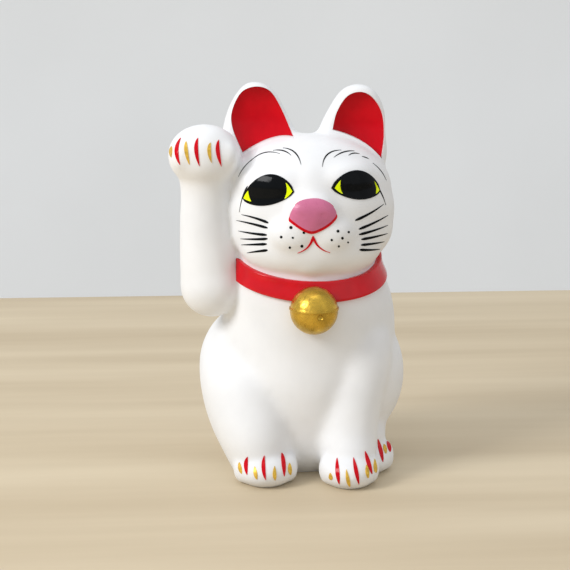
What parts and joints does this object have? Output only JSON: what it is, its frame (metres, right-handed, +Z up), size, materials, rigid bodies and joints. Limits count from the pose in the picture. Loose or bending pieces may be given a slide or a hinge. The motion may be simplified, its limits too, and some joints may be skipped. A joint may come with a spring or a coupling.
{
  "type": "beckoning cat coin bank",
  "caption": "Hollow ceramic beckoning cat with one raised paw, a bell on a collar, a coin slot behind the head and a stopper in the base.",
  "frame": {"origin": "middle of the bounding box, on the surface that the cat stands on", "axes": "+Z up, -Y the way the cat faces, +X its left side"},
  "size_m": [0.094, 0.088, 0.1524],
  "materials": {
    "white_clay": "matt",
    "red_enamel": "gloss",
    "gold_paint": "brushed gold paint, satin",
    "black_enamel": "gloss",
    "yellow_enamel": "gloss",
    "pink_enamel": "satin",
    "soft_stopper": "matt, translucent white"
  },
  "bodies": {
    "cat": {"body_casting": "white_clay", "raised_arm": "white_clay", "tail": "white_clay", "collar": "red_enamel", "bell": "gold_paint", "nose": "pink_enamel", "left_eye": "black_enamel", "right_eye": "black_enamel", "eye_corners": "yellow_enamel", "left_inner_ear": "red_enamel", "right_inner_ear": "red_enamel", "whiskers": "black_enamel", "brow_strokes": "black_enamel", "muzzle_spots": "black_enamel", "mouth_line": "red_enamel", "claws": "gold_paint", "toe_lines": "red_enamel"},
    "stopper": {"base_plug": "soft_stopper"}
  },
  "joints": [
    {"name": "stopper_pull", "type": "slide", "parent": "cat", "child": "stopper", "axis": [0, 0, -1], "range_m": [0, 0.015]}
  ]
}
